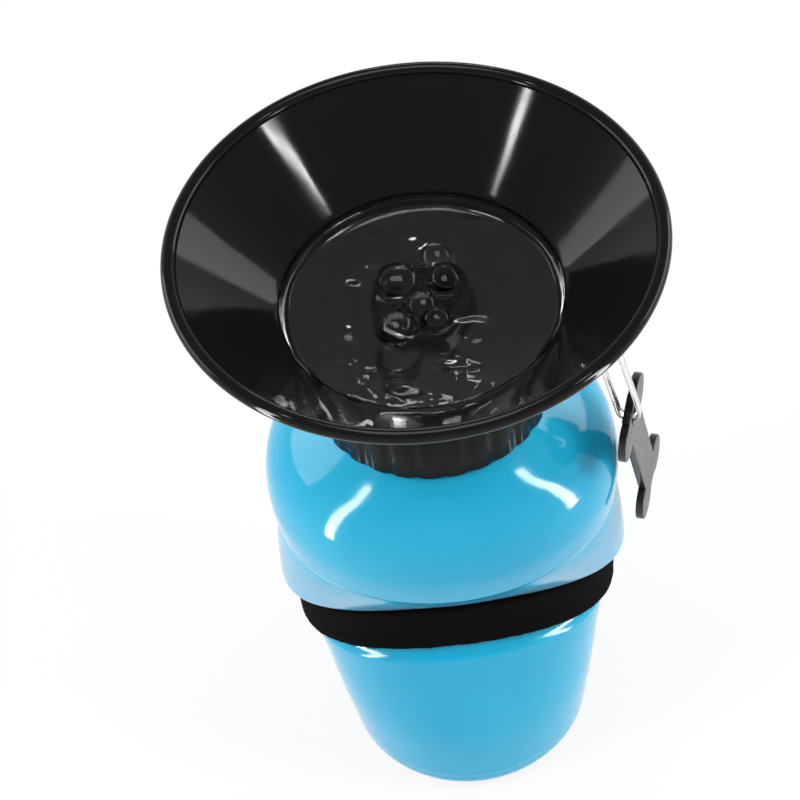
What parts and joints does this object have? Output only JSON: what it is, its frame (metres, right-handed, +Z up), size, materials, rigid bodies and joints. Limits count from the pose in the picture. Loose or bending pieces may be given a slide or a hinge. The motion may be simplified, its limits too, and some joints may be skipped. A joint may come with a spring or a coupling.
{
  "type": "dog travel water bottle",
  "caption": "Squeezable waisted travel bottle with a wide drinking bowl on a screw collar, a hand strap and a bone-shaped tag.",
  "frame": {"origin": "centre of the base's resting plane, on the bottle's axis", "axes": "+Z up the bottle's axis, -Y towards the front, +X to the right as the front is seen"},
  "size_m": [0.1292, 0.1292, 0.206],
  "materials": {
    "soft_blue": "soft translucent sky-blue wall, glossy",
    "gloss_black": "polished near-black moulded plastic",
    "strap_black": "black brushed hook-and-loop webbing",
    "hook_black": "black moulded hook tape",
    "seal_grey": "translucent grey silicone",
    "tube_clear": "clear extruded tube",
    "ring_rubber": "satin black rubber",
    "link_metal": "bright plated strip",
    "tag_grey": "satin charcoal with darker edges"
  },
  "bodies": {
    "bottle": {"bottle_body": "soft_blue", "hand_strap": "strap_black", "strap_hook_patch": "hook_black", "strap_free_end": "strap_black"},
    "bowl": {"drinking_bowl": "gloss_black", "bowl_gasket": "seal_grey", "tube_holder": "gloss_black", "holder_seal": "seal_grey", "dip_tube": "tube_clear", "outlet_cap": "gloss_black"},
    "collar": {"screw_collar": "gloss_black"},
    "ring": {"tag_ring": "ring_rubber"},
    "link": {"wire_link": "link_metal"},
    "tag": {"bone_tag": "tag_grey"}
  },
  "joints": [
    {"name": "bowl_lift", "type": "slide", "parent": "bottle", "child": "bowl", "axis": [0, 0, 1], "range_m": [0, 0.00601]},
    {"name": "collar_turn", "type": "hinge", "parent": "bowl", "child": "collar", "pos_m": [0, 0, 0.16], "axis": [0, 0, 1], "range_deg": [0, 540]},
    {"name": "ring_swivel", "type": "hinge", "parent": "bowl", "child": "ring", "pos_m": [0, 0, 0.173], "axis": [0, 0, 1], "continuous": true},
    {"name": "link_swing", "type": "hinge", "parent": "ring", "child": "link", "pos_m": [0.04557, -0.01659, 0.173], "axis": [0.342, 0.9397, 0], "range_deg": [-60, 1]},
    {"name": "tag_swing", "type": "hinge", "parent": "link", "child": "tag", "pos_m": [0.05027, -0.0183, 0.14948], "axis": [0.342, 0.9397, 0], "range_deg": [-45, 3]}
  ],
  "couplings": [
    {"joint": "bowl_lift", "follows": "collar_turn", "m_per_rad": 0.00063662}
  ]
}
